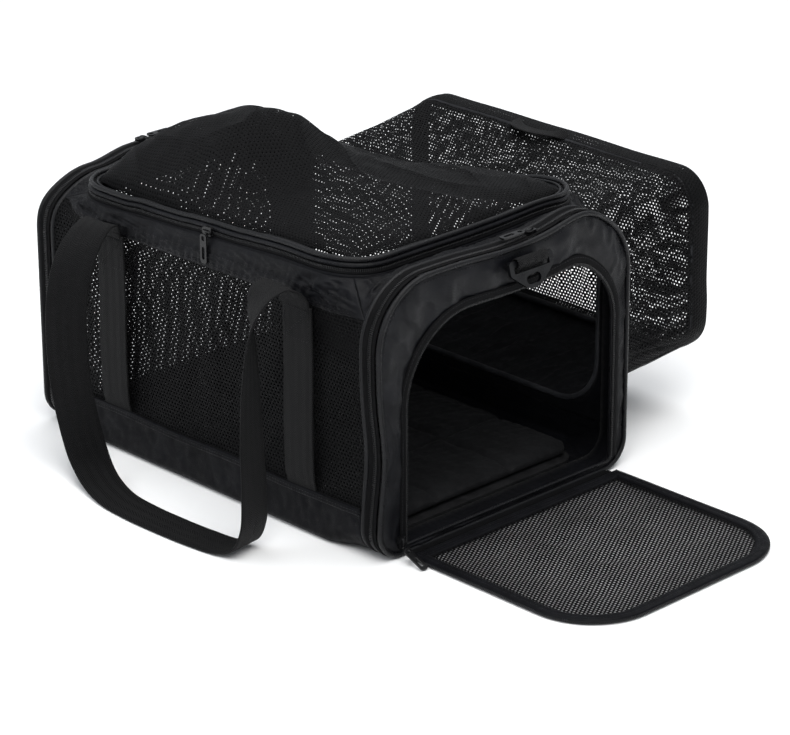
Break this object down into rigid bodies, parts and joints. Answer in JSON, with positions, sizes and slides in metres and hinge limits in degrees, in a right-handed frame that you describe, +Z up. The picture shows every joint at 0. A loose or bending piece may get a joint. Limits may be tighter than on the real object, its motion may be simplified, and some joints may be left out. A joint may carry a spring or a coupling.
{
  "type": "pet transport carrier",
  "caption": "Soft-sided pet carrier with sprung end frames, mesh walls, folding front door, zip-off mesh roof, pull-out side tent and webbing handle.",
  "frame": {"origin": "centre of the cabin's underside, on the surface it stands on", "axes": "+X out of the front door, +Y towards the pull-out tent on the far side, +Z up"},
  "size_m": [0.6728, 0.5362, 0.3115],
  "materials": {
    "oxford_fabric": "tight woven polyester, slight satin sheen",
    "mesh_netting": "open knitted mesh, matte",
    "webbing": "ribbed polypropylene webbing, matte",
    "piping": "bound cord piping, satin",
    "zipper_tape": "woven zipper tape with nylon coil",
    "plastic_hardware": "moulded acetal, fine grain",
    "metal_hardware": "gunmetal, worn bright at the edges",
    "spring_wire": "drawn spring steel",
    "base_board": "stiff plastic board",
    "base_pad": "quilted fabric pad"
  },
  "bodies": {
    "cabin": {"bottom_panel": "oxford_fabric", "base_board": "base_board", "base_mat": "base_pad", "near_lower_band": "oxford_fabric", "far_lower_band": "oxford_fabric", "near_window_mesh": "mesh_netting", "near_strap_front": "webbing", "near_strap_rear": "webbing", "front_outer_piping": "piping", "front_inner_piping": "piping", "front_gusset_zipper": "zipper_tape", "front_frame_wire": "spring_wire", "front_padded_ring": "oxford_fabric", "rear_outer_piping": "piping", "rear_inner_piping": "piping", "rear_gusset_zipper": "zipper_tape", "rear_frame_wire": "spring_wire", "rear_padded_ring": "oxford_fabric", "opening_zipper": "zipper_tape", "rear_window_mesh": "mesh_netting", "near_upper_band": "oxford_fabric", "front_top_strip": "oxford_fabric", "far_upper_band": "oxford_fabric", "rear_top_strip": "oxford_fabric", "roof_opening_band": "oxford_fabric", "roof_opening_zipper": "zipper_tape", "far_mouth_panel": "oxford_fabric", "far_mouth_binding": "piping", "tent_top_wall": "mesh_netting", "tent_rear_wall": "mesh_netting", "tent_floor": "oxford_fabric", "tent_front_wall": "mesh_netting", "handle_front_root": "webbing", "handle_rear_root": "webbing", "front_strap_anchor": "webbing", "rear_strap_anchor": "webbing"},
    "front_door": {"door_border": "oxford_fabric", "door_mesh": "mesh_netting", "door_hinge_tape": "webbing"},
    "roof_flap": {"roof_flap_border": "oxford_fabric", "roof_flap_piping": "piping", "roof_flap_mesh": "mesh_netting"},
    "tent_panel": {"tent_outer_band": "mesh_netting", "tent_frame_wire": "piping", "tent_outer_mesh": "mesh_netting", "tent_pull_loop": "webbing"},
    "handle_loop": {"carry_handle": "webbing"},
    "front_ring": {"front_strap_ring": "plastic_hardware"},
    "rear_ring": {"rear_strap_ring": "plastic_hardware"},
    "roof_zip": {"roof_slider": "metal_hardware"},
    "roof_zip_tab": {"roof_pull_tab": "metal_hardware"},
    "front_gusset_zip": {"front_gusset_slider": "metal_hardware"},
    "front_gusset_tab": {"front_gusset_pull_tab": "metal_hardware"},
    "rear_gusset_zip": {"rear_gusset_slider": "metal_hardware"},
    "rear_gusset_tab": {"rear_gusset_pull_tab": "metal_hardware"},
    "door_zip": {"door_slider": "metal_hardware"},
    "door_zip_tab": {"door_pull_tab": "metal_hardware"}
  },
  "joints": [
    {"name": "door_fold", "type": "hinge", "parent": "cabin", "child": "front_door", "pos_m": [0.225, 0, 0.0036], "axis": [0, -1, 0], "range_deg": [0, 90]},
    {"name": "roof_open", "type": "hinge", "parent": "cabin", "child": "roof_flap", "pos_m": [0, 0.1385, 0.246], "axis": [-1, 0, 0], "range_deg": [0, 105]},
    {"name": "tent_fold", "type": "slide", "parent": "cabin", "child": "tent_panel", "axis": [0, -1, 0], "range_m": [0, 0.105], "deforming": ["tent_top_wall", "tent_rear_wall", "tent_floor", "tent_front_wall"]},
    {"name": "handle_lift", "type": "hinge", "parent": "cabin", "child": "handle_loop", "pos_m": [0.0135, -0.2, 0.2135], "axis": [-0.9972, 0.0751, -0.0042], "range_deg": [0, 170], "deforming": ["handle_front_root", "handle_rear_root"]},
    {"name": "front_ring_swing", "type": "hinge", "parent": "cabin", "child": "front_ring", "pos_m": [0.2275, 0.018, 0.23], "axis": [0, -1, 0], "range_deg": [0, 100]},
    {"name": "rear_ring_swing", "type": "hinge", "parent": "cabin", "child": "rear_ring", "pos_m": [-0.2275, -0.018, 0.23], "axis": [0, 1, 0], "range_deg": [0, 100]},
    {"name": "roof_zip_travel", "type": "slide", "parent": "cabin", "child": "roof_zip", "axis": [1, 0, 0], "range_m": [-0.14, 0.128]},
    {"name": "roof_tab_swing", "type": "hinge", "parent": "roof_zip", "child": "roof_zip_tab", "pos_m": [0.008, -0.1519, 0.24485], "axis": [-1, 0, 0], "range_deg": [0, 150]},
    {"name": "front_gusset_zip_travel", "type": "slide", "parent": "cabin", "child": "front_gusset_zip", "axis": [0, 1, 0], "range_m": [-0.12, 0.05]},
    {"name": "front_gusset_tab_swing", "type": "hinge", "parent": "front_gusset_zip", "child": "front_gusset_tab", "pos_m": [0.2095, 0.029, 0.2487], "axis": [-1, 0, 0], "range_deg": [0, 110]},
    {"name": "rear_gusset_zip_travel", "type": "slide", "parent": "cabin", "child": "rear_gusset_zip", "axis": [0, -1, 0], "range_m": [-0.12, 0.05]},
    {"name": "rear_gusset_tab_swing", "type": "hinge", "parent": "rear_gusset_zip", "child": "rear_gusset_tab", "pos_m": [-0.2095, -0.029, 0.2487], "axis": [1, 0, 0], "range_deg": [0, 110]},
    {"name": "door_zip_travel", "type": "slide", "parent": "cabin", "child": "door_zip", "axis": [0, 0, 1], "range_m": [0, 0.105]},
    {"name": "door_tab_swing", "type": "hinge", "parent": "door_zip", "child": "door_zip_tab", "pos_m": [0.2286, -0.1297, 0.012], "axis": [0, -1, 0], "range_deg": [0, 100]}
  ]
}
